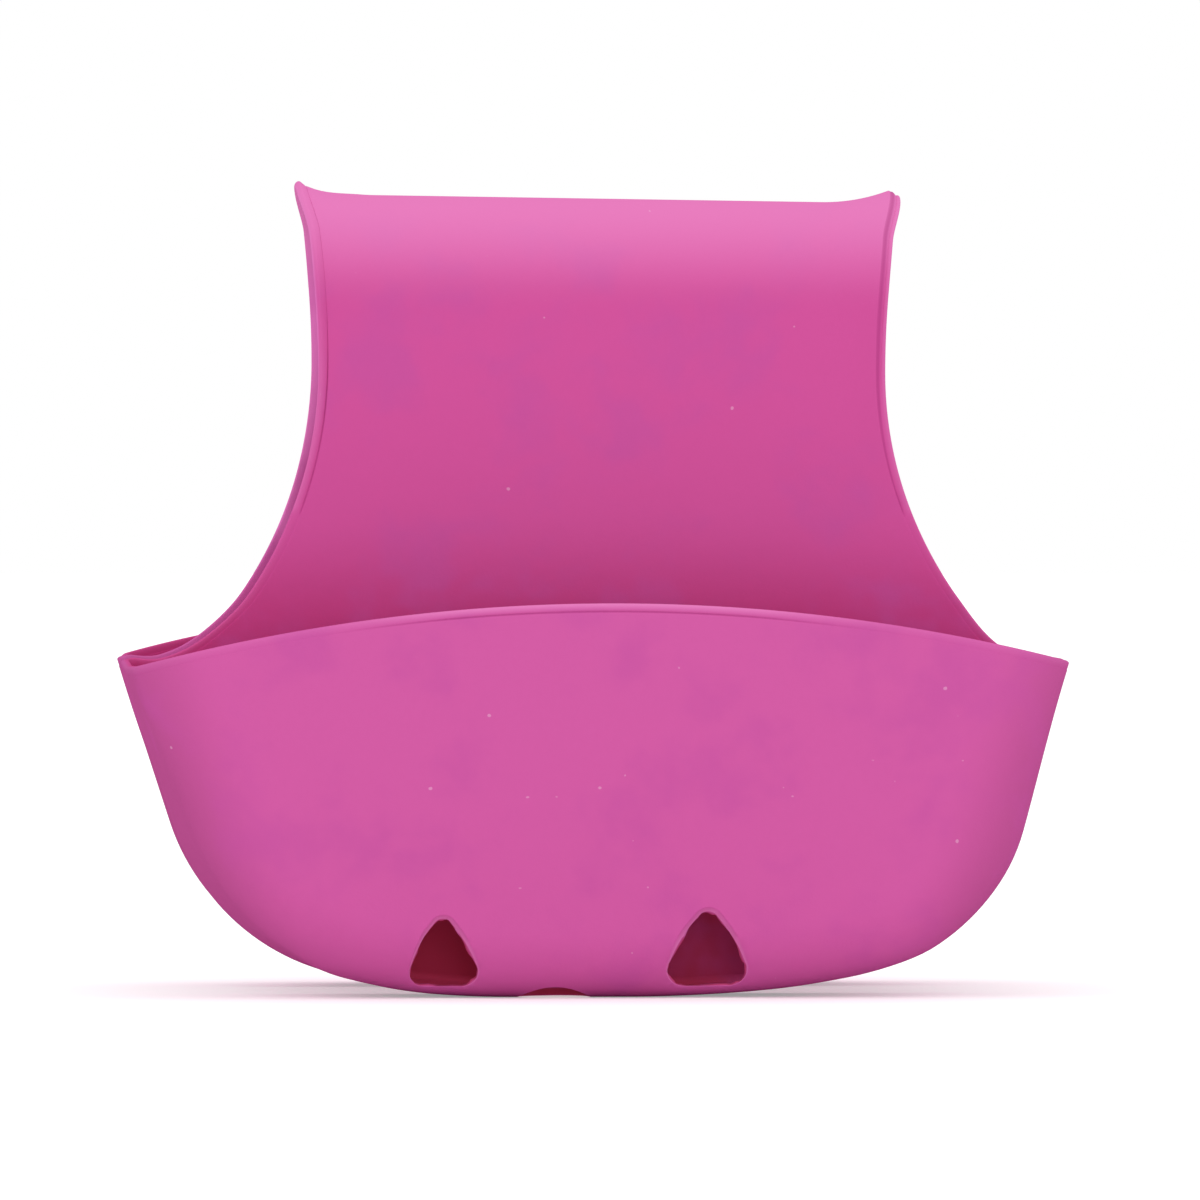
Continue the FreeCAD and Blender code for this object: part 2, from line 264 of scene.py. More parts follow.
# %% [markdown]
# ## The face
# The face is stretched between the left and the right half of the wall, row by row. Filling its outline with
# one face would leave nothing for the rim to bend along. Its top rows follow the arched rim, and the arch
# flattens out in the rows below.

# %% Face
FACE_FLATTENING = 1.4


def face_grid():
    """The face, from its arched rim down to the front edge of the floor."""
    ends = wall_half[:, -1]
    lowered = np.linspace(1, 0, len(ends) - EDGE_ROWS) ** FACE_FLATTENING
    bulge = np.concatenate([np.ones(EDGE_ROWS), lowered]) * (RIM_MIDDLE_HEIGHT - ends[0, 2])
    z = ends[:, 2, None] + bulge[:, None] * (1 - ACROSS ** 2)
    x = ends[:, 0, None] * ACROSS
    return np.stack([x, face_y(z, HALF_WALL), z], -1)


print("face", face_grid().shape[:2])

# %% [markdown]
# ## The flanks
# Above the pocket the panel's flanks draw in to a waist and widen again towards the fold. Three arcs that
# touch each other make the edge: a tight one from the mouth's corner, a wide hollow up to the waist, and a
# very flat horn above it. The rows beside the edge run parallel to it, but bend to meet the pocket's fold
# below and to lie level at the top, so that the grids can be welded there.

# %% Rows beside the flank
WAIST_HALF_WIDTH = 66.1 * MM
WAIST_HEIGHT = 145.5 * MM
WAIST_TURN = -math.pi / 2
HORN_RADIUS = 230.0 * MM
FLANK_RADIUS = 92.0 * MM
FLANK_TURN = math.radians(34)
FLANK_STEPS, HORN_STEPS = 30, 12
FIT_LENGTH = 9.0 * MM


def flank_curve(foot):
    """Right edge of panel and strap from the foot up: points and inward directions in (x, z)."""
    flank_centre = np.array([WAIST_HALF_WIDTH + FLANK_RADIUS, WAIST_HEIGHT])
    start = polar(flank_centre, FLANK_RADIUS, WAIST_TURN + FLANK_TURN)
    along = np.array([math.cos(FLANK_TURN), math.sin(FLANK_TURN)])
    gap = start - foot
    radius = -gap @ gap / (2 * gap @ along)
    centre = start + radius * along
    foot_turn = math.atan2(foot[0] - centre[0], centre[1] - foot[1])
    horn_centre = np.array([WAIST_HALF_WIDTH + HORN_RADIUS, WAIST_HEIGHT])
    horn_turn = math.asin((CROWN_AXIS - WAIST_HEIGHT) / HORN_RADIUS)
    stretches = [
        (centre, radius, np.linspace(foot_turn, WAIST_TURN + FLANK_TURN, FLANK_STEPS + 1)),
        (flank_centre, FLANK_RADIUS, np.linspace(WAIST_TURN + FLANK_TURN, WAIST_TURN, FLANK_STEPS + 1)[1:]),
        (horn_centre, HORN_RADIUS, np.linspace(WAIST_TURN, WAIST_TURN - horn_turn, HORN_STEPS + 1)[1:]),
    ]
    points = np.concatenate([polar(c, r, turns) for c, r, turns in stretches])
    normals = np.concatenate([(polar(c, r, turns) - c) / r for c, r, turns in stretches])
    return points, normals


def flank_rows():
    """Rows beside the flank, in (x, z), from the pocket's fold up to the level of the fold's axis."""
    fold_top = wall_half[:EDGE_ROWS + 1, 0][:, [0, 2]]
    points, normals = flank_curve(fold_top[0])
    rows = points[:, None, :] + EDGE_GAPS[None, :, None] * normals[:, None, :]
    run = run_along(points)
    level_top = points[-1] - np.stack([EDGE_GAPS, 0 * EDGE_GAPS], -1)
    foot_share = np.exp(-(run / FIT_LENGTH) ** 2)[:, None, None]
    top_share = np.exp(-((run[-1] - run) / FIT_LENGTH) ** 2)[:, None, None]
    return rows + foot_share * (fold_top - rows[0]) + top_share * (level_top - rows[-1])


print("rows beside the flank", flank_rows().shape[:2])

# %% [markdown]
# ## Curled edges and the hanging panel
# Rubber that is bent one way curls the other way at its two edges. On this strap they rise along an arc, and
# the curl fades out down the panel. The strip at the right edge droops again, and the one at the left tilts
# up into a point. A bend modifier would curl the whole strap, so the rise is worked out point by point.

# %% Panel with its curled edges
CURL_START = 52.6 * MM
CURL_RADIUS = 44.0 * MM
CURL_END_HEIGHT = 112.0 * MM
RIGHT_DROOP = 0.9 * MM
DROOP_REACH = 2.5 * STRIP_STEP
LEFT_TILT = 1.1 * MM
LEFT_POINT = 1.4
TILT_REACH = (3 * MM, 15 * MM)


def curl_rise(x):
    """How far the points of the strap's rows curl away from the fold's axis."""
    on_strip = np.zeros(x.shape[1])
    on_strip[:EDGE_ROWS + 1] = np.clip(STRIP_WIDTH - EDGE_GAPS, 0, None)
    on_strip[-EDGE_ROWS - 1:] = on_strip[EDGE_ROWS::-1]
    past = np.clip(np.abs(x) - on_strip - CURL_START, 0, CURL_RADIUS)
    droop = RIGHT_DROOP * smooth(on_strip, 0, DROOP_REACH) * (x > 0)
    tilt = LEFT_TILT * (LEFT_POINT * on_strip / STRIP_WIDTH - smooth(past, *TILT_REACH)) * (x < 0)
    return CURL_RADIUS - np.sqrt(CURL_RADIUS ** 2 - past ** 2) - droop + tilt


def across_strap(rows):
    """Full rows of the strap, from the rows beside its right edge: x and the height at each point."""
    middle = rows[:, -1, 0, None] * ACROSS
    x = np.concatenate([-rows[:, :-1, 0], middle, rows[:, -2::-1, 0]], 1)
    level = np.repeat(rows[:, -1, 1, None], len(ACROSS), 1)
    z = np.concatenate([rows[:, :-1, 1], level, rows[:, -2::-1, 1]], 1)
    return x, z


def upper_panel_grid():
    """The panel above the rim corners, with its curled edges."""
    x, z = across_strap(flank_rows())
    return np.stack([x, -MID_RADIUS - curl_rise(x) * smooth(z, CURL_END_HEIGHT, CROWN_AXIS), z], -1)


def lower_panel_grid():
    """The panel behind the pocket, down to the floor's fold."""
    ends = wall_half[EDGE_ROWS:, 0]
    x = ends[:, 0, None] * ACROSS
    return np.stack([x, np.full_like(x, -MID_RADIUS), np.repeat(ends[:, 2, None], len(ACROSS), 1)], -1)


print("panel", upper_panel_grid().shape[:2], "and", lower_panel_grid().shape[:2])

# %% [markdown]
# ## The fold over the crown
# Over the sink wall the strap turns a half circle, and its curled corners stand up and flare out a little.
# Each quarter has four bends, so it is made in four stretches, one for each bend. One long grid would have
# to be cut apart again for them.

# %% Stretches of the fold
FOLD_ROWS = 14
TIP_FLARE = 1.4 * MM
FLARE_START = 0.55


def crown_grid(number):
    """One stretch of the fold on the front side, counted from the ridge."""
    turns = np.linspace(number * BEND_STEP, (number - 1) * BEND_STEP, FOLD_ROWS + 1)
    height = CROWN_AXIS + MID_RADIUS * np.cos(turns)
    edge = WAIST_HALF_WIDTH + HORN_RADIUS - np.sqrt(HORN_RADIUS ** 2 - (height - WAIST_HEIGHT) ** 2)
    edge = edge + TIP_FLARE * smooth(height, CROWN_AXIS + FLARE_START * MID_RADIUS, CROWN_AXIS + MID_RADIUS)
    rows = np.stack([edge[:, None] - EDGE_GAPS, np.repeat(turns[:, None], EDGE_ROWS + 1, 1)], -1)
    x, turn = across_strap(rows)
    radius = MID_RADIUS + curl_rise(x)
    return np.stack([x, -radius * np.sin(turn), CROWN_AXIS + radius * np.cos(turn)], -1)


print("stretch of the fold", crown_grid(1).shape[:2])

# %% [markdown]
# ## How soft rubber hangs
# The real caddy isn't true. The front pocket's foot is pushed to the left and its lower sides to the right.
# The strap stands a little to the right, its ridge dips to the right and the rim to the left, and shoulders
# and rim sag. A lattice could do this by hand. Here the leans are added to the points in code, because the
# drains' cutters have to move along with them. Each lean fades out over a range of places.

# %% Leans of the soft moulding
FOOT_SHIFT = 6.2 * MM
SIDE_SHIFT = 2.8 * MM
STRAP_SHIFT = 2.1 * MM
REAR_SKEW = 0.5 * MM
SHOULDER_SAG = 1.8 * MM
RIM_SAG = 0.9 * MM
REAR_RIM_SHARE = 0.4
RIDGE_DIP = 0.015
RIM_DIP = 0.006

FORWARD = (OUTER_RADIUS, OUTER_RADIUS + FLOOR_DEPTH / 2)
UP_TO_STRAP = (RIM_CORNER_HEIGHT, RIM_MIDDLE_HEIGHT)
UP_TO_CROWN = (RIM_MIDDLE_HEIGHT, CROWN_AXIS)
UP_TO_RIM = (20 * MM, RIM_CORNER_HEIGHT)
DOWN_THE_STRAP = (0, 40 * MM)
SHOULDER_HEIGHT = (55 * MM, RIM_CORNER_HEIGHT)
SHOULDER_START, SHOULDER_END = (82 * MM, 97 * MM), (100 * MM, 110 * MM)
FOOT_HEIGHT = (14 * MM, 60 * MM)
FOOT_WIDTH = (30 * MM, 64 * MM)
FOOT_OFFSET = 16 * MM
SIDE_START, SIDE_END = (4 * MM, 12 * MM), (26 * MM, 80 * MM)
SIDE_WIDTH = (45 * MM, 70 * MM)


def lean(points, front):
    """Moves points as the soft rubber hangs."""
    x, y, z = (points[..., i] for i in range(3))
    forward = smooth(np.abs(y), *FORWARD)
    up_to_rim = smooth(z, *UP_TO_RIM)
    skew = REAR_SKEW * np.clip(y / MID_RADIUS, 0, 1) * smooth(CROWN_AXIS - z, *DOWN_THE_STRAP)
    dx = (STRAP_SHIFT - skew) * smooth(z, *UP_TO_STRAP) * (1 - forward)
    shoulder = smooth(np.abs(x), *SHOULDER_START) * (1 - smooth(np.abs(x), *SHOULDER_END))
    dz = -RIDGE_DIP * x * smooth(z, *UP_TO_CROWN)
    dz = dz - SHOULDER_SAG * shoulder * smooth(z, *SHOULDER_HEIGHT) * (1 - forward)
    dz = dz - RIM_SAG * (1.0 if front else REAR_RIM_SHARE) * forward * up_to_rim
    if front:
        beside = np.maximum(-x, x + FOOT_OFFSET)
        foot = (1 - smooth(z, *FOOT_HEIGHT)) * (1 - smooth(beside, *FOOT_WIDTH))
        side = smooth(z, *SIDE_START) * (1 - smooth(z, *SIDE_END)) * smooth(np.abs(x), *SIDE_WIDTH)
        dx = dx + forward * (SIDE_SHIFT * side - FOOT_SHIFT * foot)
        dz = dz + RIM_DIP * x * forward * up_to_rim
    return np.stack([x + dx, y, z + dz], -1)


print(f"foot moves {FOOT_SHIFT / MM:.0f} mm to the left")

# %% [markdown]
# ## The grids of one side
# Both sides of the caddy use the same grids, turned round for the rear. Each grid has a zone, which later
# becomes a piece, and each point knows its distance from the free edge. Grids without a free edge count as
# far from it. The strip beside the edge fades out along the rim and towards the strap's left tip.

# %% Grids, zones and distances
FAR = 1.0
RIM_FADE = 0.8
RIM_FADE_WIDTH = (25 * MM, 70 * MM)
TIP_FADE = 0.75
TIP_FADE_DROP = 30 * MM


def gaps_of(grid, along_rows):
    """Distance from the free edge for a grid whose first rows, or outer columns, lie beside it."""
    gaps = np.full(grid.shape[:2], FAR)
    if along_rows:
        gaps[:EDGE_ROWS + 1] = EDGE_GAPS[:, None]
    else:
        gaps[:, :EDGE_ROWS + 1] = EDGE_GAPS
        gaps[:, -EDGE_ROWS - 1:] = EDGE_GAPS[::-1]
    return gaps


def strip_share(points):
    """How much of the edge strip shows at each point."""
    x, z = points[..., 0], points[..., 2]
    on_rim = smooth(np.abs(x), *RIM_FADE_WIDTH) * (z < CURL_END_HEIGHT)
    at_tip = smooth(z, CROWN_AXIS - TIP_FADE_DROP, CROWN_AXIS) * (x < 0)
    return 1 - RIM_FADE * on_rim - TIP_FADE * at_tip


def side_grids():
    """Grids of the front side: zone, points, distances from the free edge, and whether to flip."""
    wall_gaps = gaps_of(wall_half, True)
    face, upper, lower = face_grid(), upper_panel_grid(), lower_panel_grid()
    yield "pocket", wall_half, wall_gaps, False
    yield "pocket", wall_half * [-1, 1, 1], wall_gaps, True
    yield "pocket", floor_grid, np.full(floor_grid.shape[:2], FAR), True
    yield "pocket", face, gaps_of(face, True), True
    yield "pocket", upper, gaps_of(upper, False), True
    yield "pocket", lower, np.full(lower.shape[:2], FAR), False
    for number in range(1, BENDS + 1):
        crown = crown_grid(number)
        yield f"fold_{number}", crown, gaps_of(crown, False), False


print(len(list(side_grids())), "grids on each side")

# %% [markdown]
# ## One seamless middle surface
# All grids go into one mesh and are welded, so that the normals run on over every border. Separate objects
# would each have their own normals there, and the light would show a seam. The faces keep their zone and the
# points their distance from the free edge as layers of the mesh.

# %% Weld the grids
WELD = 0.004 * MM
skin = bmesh.new()
gap_layer = skin.verts.layers.float.new("edge_gap")
strip_layer = skin.verts.layers.float.new("strip")
zone_layer = skin.faces.layers.int.new("zone")
zones = []


def add_grid(grid, gaps, zone, flip):
    """Adds a grid of points as four-sided faces."""
    verts = []
    for point, gap, share in zip(grid.reshape(-1, 3), gaps.ravel(), strip_share(grid).ravel()):
        vert = skin.verts.new(point)
        vert[gap_layer] = gap
        vert[strip_layer] = share
        verts.append(vert)
    rows, columns = grid.shape[:2]
    for r in range(rows - 1):
        for c in range(columns - 1):
            i = r * columns + c
            corners = [verts[i], verts[i + 1], verts[i + columns + 1], verts[i + columns]]
            face = skin.faces.new(corners[::-1] if flip else corners)
            face[zone_layer] = zone
            face.smooth = True


for side in ("front", "rear"):
    front = side == "front"
    for name, grid, gaps, flip in side_grids():
        zone = f"{side}_{name}"
        if zone not in zones:
            zones.append(zone)
        placed = lean(grid * [1, 1 if front else -1, 1], front)
        add_grid(placed, gaps, zones.index(zone), flip if front else not flip)

bmesh.ops.remove_doubles(skin, verts=skin.verts, dist=WELD)
bmesh.ops.recalc_face_normals(skin, faces=skin.faces)
skin.normal_update()
free_edges = sum(e.is_boundary for e in skin.edges)
print(len(skin.faces), "faces in", len(zones), "zones,", free_edges, "free edges")

# %% [markdown]
# ## Small tools for node trees
# The rubber's finish and its wall are both made by node trees. A tree is a chain of small sums, and each sum
# takes several lines of code, so a few helpers make the nodes. A value handed to them is either a plain
# number, which is set on the socket, or the output of another node, which is linked.


# %% Helpers for node trees
def feed(tree, socket, value):
    """Links another node's output to a socket, or sets a plain value on it."""
    if isinstance(value, bpy.types.NodeSocket):
        tree.links.new(value, socket)
    else:
        socket.default_value = value


def node_at(tree, kind, inputs=None, **settings):
    """A new node with its properties and inputs set."""
    node = tree.nodes.new(kind)
    for key, value in settings.items():
        setattr(node, key, value)
    for key, value in (inputs or {}).items():
        feed(tree, node.inputs[key], value)
    return node


def calc(tree, operation, *values):
    """Result of a Math node."""
    return node_at(tree, "ShaderNodeMath", dict(enumerate(values)), operation=operation).outputs[0]


def ramp(tree, value, low, high, to_low=0.0, to_high=1.0):
    """Value mapped from one range to another, softly."""
    inputs = {"Value": value, "From Min": low, "From Max": high, "To Min": to_low, "To Max": to_high}
    return node_at(tree, "ShaderNodeMapRange", inputs, interpolation_type="SMOOTHSTEP").outputs["Result"]


print("helpers:", *(f.__name__ for f in (feed, node_at, calc, ramp)))

# %% [markdown]
# ## Noise and colour
# Noise gives a surface small differences; a picture would need a layout for every piece. Colours are written
# as a colour picker shows them, from 0 to 255, and turned into the linear light that Blender works with.


# %% Helpers for finishes
def noise(tree, place, scale, detail, roughness=0.5):
    """A noise texture over the object."""
    inputs = {"Vector": place, "Scale": scale, "Detail": detail, "Roughness": roughness}
    return node_at(tree, "ShaderNodeTexNoise", inputs).outputs["Fac"]


def mix_colour(tree, share, first, second):
    """One colour over another."""
    node = node_at(tree, "ShaderNodeMix", {"Factor": share}, data_type="RGBA")
    colours = [s for s in node.inputs if s.type == "RGBA"]
    for socket, colour in zip(colours, (first, second)):
        feed(tree, socket, colour)
    return next(s for s in node.outputs if s.type == "RGBA")


def srgb(red, green, blue):
    """A colour in linear light from its usual 0 to 255 values."""
    parts = [c / 255 for c in (red, green, blue)]
    return (*(c / 12.92 if c <= 0.04045 else ((c + 0.055) / 1.055) ** 2.4 for c in parts), 1)


def plain_material(name):
    """A new material: itself, its node tree, its shader's inputs and the place on the object."""
    material = bpy.data.materials.new(name)
    material.use_nodes = True
    tree = material.node_tree
    place = node_at(tree, "ShaderNodeTexCoord").outputs["Object"]
    return material, tree, tree.nodes["Principled BSDF"].inputs, place


print("middle grey in linear light", round(srgb(128, 128, 128)[0], 3))

# %% [markdown]
# ## Tones of the rubber
# The rubber has one colour with faint cooler clouds, and light and shade are painted onto it: painted shade
# on the inner skin of the pockets and the panel above the mouth, deepening towards the bottom, a lighter
# painted reflection on the outside, painted shade on the slanting sides, a painted highlight over the crown
# and painted light on the strap's underside. These could be painted by hand. Here each tone comes from the
# place on the object, so it runs on over the borders between the pieces.

# %% Colours by place
RUBBER = srgb(207, 83, 154)
# Outer skin: lighter, a painted reflection of the bright floor and sky.
RUBBER_PAINTED_VEIL = srgb(206, 91, 161)
# Painted shade inside the pockets and on the panel above the mouth, deepest and reddest at the bottom.
RUBBER_PAINTED_SHADE = srgb(196, 62, 128)
RUBBER_DEEPEST_SHADE = srgb(184, 58, 92)
RUBBER_COOL = srgb(194, 83, 158)
# Painted shade on the slanting sides of the face.
RUBBER_SIDE_SHADE = srgb(184, 80, 142)
# Painted light on the strap's underside, which lies in shade between the two legs.
RUBBER_UNDER_LIGHT = srgb(230, 124, 196)
# Painted highlight: over the crown, and on the strip along the free edges.
RUBBER_HIGHLIGHT = srgb(226, 127, 188)
SHADE_DEEPENING_HEIGHT = (10 * MM, 55 * MM)
SIDE_SHADE_PLACE = (62 * MM, 86 * MM)
HIGHLIGHT_DROP = 6 * MM
SIDE_SHADE_SHARE, UNDER_LIGHT_SHARE, CLOUD_SHARE, HIGHLIGHT_SHARE = 0.9, 0.9, 0.55, 0.8


def mesh_value(tree, name):
    """A value that the mesh carries on its points."""
    return node_at(tree, "ShaderNodeAttribute", attribute_name=name).outputs["Fac"]


def beside_face(tree, parts):
    """Distance from the middle plane, measured on the floor along the slant of the pocket's sides."""
    off = calc(tree, "ABSOLUTE", parts["X"])
    return calc(tree, "MULTIPLY_ADD", parts["Z"], -math.tan(SIDE_LEAN), off)


def rubber_tones(tree, parts, clouds):
    """The rubber's colour and its painted light and shade, by its place and by the side of the wall."""
    height = parts["Z"]
    # Painted shade on the inner skin: deepest at the pocket's bottom, fading out between the rim's corners
    # and the curl's end.
    deepening = ramp(tree, height, *SHADE_DEEPENING_HEIGHT, 1, 0)
    inside_shade = mix_colour(tree, deepening, RUBBER_PAINTED_SHADE, RUBBER_DEEPEST_SHADE)
    shade_below_rim = ramp(tree, height, RIM_CORNER_HEIGHT, CURL_END_HEIGHT, 1, 0)
    shaded_inside = mix_colour(tree, shade_below_rim, RUBBER, inside_shade)
    # Painted shade towards the slanting sides.
    side_shade = ramp(tree, beside_face(tree, parts), *SIDE_SHADE_PLACE, 0, SIDE_SHADE_SHARE)
    outer_tone = mix_colour(tree, side_shade, RUBBER_PAINTED_VEIL, RUBBER_SIDE_SHADE)
    # Painted light on the strap's underside.
    under = ramp(tree, height, RIM_MIDDLE_HEIGHT, CURL_END_HEIGHT, 0, UNDER_LIGHT_SHARE)
    outer_tone = mix_colour(tree, under, outer_tone, RUBBER_UNDER_LIGHT)
    # The inner skin takes the painted shade, the outer skin the painted reflection.
    colour = mix_colour(tree, mesh_value(tree, "inside"), outer_tone, shaded_inside)
    colour = mix_colour(tree, ramp(tree, clouds, 0, 1, 0, CLOUD_SHARE), colour, RUBBER_COOL)
    # Painted highlight over the crown.
    crown_highlight = ramp(tree, height, CROWN_AXIS - HIGHLIGHT_DROP, CROWN_AXIS + OUTER_RADIUS, 0, HIGHLIGHT_SHARE)
    return mix_colour(tree, crown_highlight, colour, RUBBER_HIGHLIGHT)


print("rubber in linear light", [round(c, 3) for c in RUBBER[:3]])

# %% [markdown]
# ## Painted edge highlight, crease shade, specks and grain
# The strip along the free edge gets a painted highlight, the crease beside it painted shade, and a few
# specks of dust stick to the surface. The mould leaves a fine grain over soft, slow waves. Both are too
# small for the mesh, so a bump does them. The rubber is matte, without a shine.

# %% Painted highlight and shade of the edge
# Painted shade in the crease beside the strip.
RUBBER_CREASE_SHADE = srgb(166, 54, 120)
CREASE_IN, CREASE_OUT = 0.3 * MM, 0.4 * MM
CREASE_SHADE_SHARE = 0.5
# Painted highlight on the strip along the free edge, stronger at the rim than on the strap.
HIGHLIGHT_AT_RIM, HIGHLIGHT_ON_STRAP = 0.8, 0.35


def edge_tones(tree, colour, height):
    """A painted highlight on the strip and painted shade in the crease beside it, over a colour."""
    gap = mesh_value(tree, "edge_gap")
    strip = mesh_value(tree, "strip")
    # Painted highlight on the strip.
    strip_highlight = ramp(tree, height, RIM_MIDDLE_HEIGHT, CURL_END_HEIGHT, HIGHLIGHT_AT_RIM, HIGHLIGHT_ON_STRAP)
    on_strip = calc(tree, "MULTIPLY", ramp(tree, gap, 0, STRIP_WIDTH, 1, 0), strip)
    colour = mix_colour(tree, calc(tree, "MULTIPLY", on_strip, strip_highlight), colour, RUBBER_HIGHLIGHT)
    # Painted shade in the crease beside the strip.
    rising = ramp(tree, gap, STRIP_WIDTH - CREASE_IN, STRIP_WIDTH)
    falling = ramp(tree, gap, STRIP_WIDTH, STRIP_WIDTH + CREASE_OUT, 1, 0)
    share = ramp(tree, strip, 0, 1, 0, CREASE_SHADE_SHARE)
    crease = calc(tree, "MULTIPLY", calc(tree, "MULTIPLY", rising, falling), share)
    return mix_colour(tree, crease, colour, RUBBER_CREASE_SHADE)


print(f"crease {(CREASE_IN + CREASE_OUT) / MM:.1f} mm wide")

# %% Rubber material
DUST = srgb(236, 190, 220)
ROUGHNESS = (0.6, 0.7)
# Noises: scale, detail and roughness. Ranges: where clouds and specks begin and are full.
CLOUDS, CLOUD_RANGE = (38, 3, 0.6), (0.42, 0.75)
SPECKS, SPECK_RANGE, SPECK_SHARE = (480, 0), (0.88, 0.9), 0.35
# Bumps: strength and distance.
WAVES, WAVE_BUMP = (60, 2), (0.25, 1.2 * MM)
GRAIN, GRAIN_BUMP = (1500, 4, 0.6), (0.12, 0.25 * MM)


def bump(tree, height, strength, distance):
    """A Bump node over a height."""
    return node_at(tree, "ShaderNodeBump", {"Height": height, "Strength": strength, "Distance": distance})


def rubber_material():
    """Matte rubber with its tones, painted light and shade, edges, specks and grain."""
    material, tree, shader, place = plain_material("matte_rubber")
    parts = node_at(tree, "ShaderNodeSeparateXYZ", {"Vector": place}).outputs
    clouds = ramp(tree, noise(tree, place, *CLOUDS), *CLOUD_RANGE)
    colour = edge_tones(tree, rubber_tones(tree, parts, clouds), parts["Z"])
    specks = ramp(tree, noise(tree, place, *SPECKS), *SPECK_RANGE, 0, SPECK_SHARE)
    feed(tree, shader["Base Color"], mix_colour(tree, specks, colour, DUST))
    feed(tree, shader["Roughness"], ramp(tree, clouds, 0, 1, *ROUGHNESS))
    feed(tree, shader["Specular IOR Level"], 0.0)

    waves = bump(tree, noise(tree, place, *WAVES), *WAVE_BUMP)
    grain = bump(tree, noise(tree, place, *GRAIN), *GRAIN_BUMP)
    feed(tree, grain.inputs["Normal"], waves.outputs["Normal"])
    feed(tree, shader["Normal"], grain.outputs["Normal"])
    return material


rubber = rubber_material()
print("material", rubber.name, "with", len(rubber.node_tree.nodes), "nodes")

# %% [markdown]
# ## A wall from a middle surface
# A Solidify modifier gives an even wall, but this one is thinner in the strip beside every free edge and
# ends in a round lip. A node tree does it: two copies of the surface move apart by a thickness that follows
# the distance from the edge. At the edge that thickness is nothing, so the copies meet there and are welded
# into one closed skin. First comes half of that thickness.

# %% Half the wall's thickness
STRIP_SINK = 0.35 * MM
STRIP_GROOVE = 0.1 * MM


def sheet_value(tree, name, kind):
    """A value that the sheet carries on its points."""
    node = node_at(tree, "GeometryNodeInputNamedAttribute", {"Name": name}, data_type=kind)
    return node.outputs["Attribute"]


def half_thickness(tree, given):
    """Half the wall: a round lip at the edge, then the sunk strip, a fine groove, and the full wall."""
    gap = sheet_value(tree, "edge_gap", "FLOAT")
    strip = sheet_value(tree, "strip", "FLOAT")
    sink = calc(tree, "MULTIPLY", given["Strip Sink"], strip)
    groove = calc(tree, "MULTIPLY", given["Strip Groove"], strip)
    on_strip = calc(tree, "SUBTRACT", calc(tree, "MULTIPLY", given["Wall"], 0.5), sink)

    inside_lip = calc(tree, "MINIMUM", calc(tree, "DIVIDE", gap, given["Lip Radius"]), 1.0)
    short = calc(tree, "SUBTRACT", 1.0, inside_lip)
    round_part = calc(tree, "SUBTRACT", 1.0, calc(tree, "MULTIPLY", short, short))
    lip = calc(tree, "SQRT", calc(tree, "MAXIMUM", round_part, 0.0))

    strip_end = calc(tree, "ADD", given["Strip Width"], given["Strip Step"])
    step_up = calc(tree, "MULTIPLY", ramp(tree, gap, given["Strip Width"], strip_end), sink)
    beside = calc(tree, "ABSOLUTE", calc(tree, "SUBTRACT", gap, given["Strip Width"]))
    groove_end = calc(tree, "MULTIPLY", given["Strip Step"], 2.0)
    dent = calc(tree, "SUBTRACT", 1.0, ramp(tree, beside, 0.0, groove_end))
    half = calc(tree, "ADD", calc(tree, "MULTIPLY", lip, on_strip), step_up)
    half = calc(tree, "SUBTRACT", half, calc(tree, "MULTIPLY", dent, groove))
    return calc(tree, "MULTIPLY", half, sheet_value(tree, "open", "FLOAT"))


print(f"wall {WALL / MM:.1f} mm, strip {(WALL - 2 * STRIP_SINK) / MM:.1f} mm")

# %% [markdown]
# ## The wall's node tree
# The tree has a named input for each size, so the same wall could be given to another sheet. One copy of the
# sheet becomes the inner skin and one, flipped, the outer, and each is marked, because the material gives
# the two sides different tones. Welding closes the lip, and the last nodes leave a plain, painted mesh.

# %% Inputs and sides of the wall
WALL_INPUTS = {
    "Wall": WALL, "Strip Width": STRIP_WIDTH, "Strip Sink": STRIP_SINK, "Strip Step": STRIP_STEP,
    "Strip Groove": STRIP_GROOVE, "Lip Radius": LIP_RADIUS, "Material": rubber,
}


def wall_side(tree, sheet, half, sign):
    """One side of the wall: the sheet moved along its normals, and marked as inside or outside."""
    normal = sheet_value(tree, "wall_normal", "FLOAT_VECTOR")
    scaled = {"Vector": normal, "Scale": calc(tree, "MULTIPLY", half, sign)}
    shift = node_at(tree, "ShaderNodeVectorMath", scaled, operation="SCALE").outputs["Vector"]
    moved = node_at(tree, "GeometryNodeSetPosition", {"Geometry": sheet, "Offset": shift})
    side = moved.outputs["Geometry"]
    if sign < 0:
        side = node_at(tree, "GeometryNodeFlipFaces", {"Mesh": side}).outputs["Mesh"]
    mark = {"Geometry": side, "Name": "inside", "Value": 1.0 if sign > 0 else 0.0}
    named = node_at(tree, "GeometryNodeStoreNamedAttribute", mark, data_type="FLOAT", domain="POINT")
    return named.outputs["Geometry"]


print(len(WALL_INPUTS), "inputs:", ", ".join(WALL_INPUTS))

# %% Node tree for the wall
WALL_WELD = 0.002 * MM


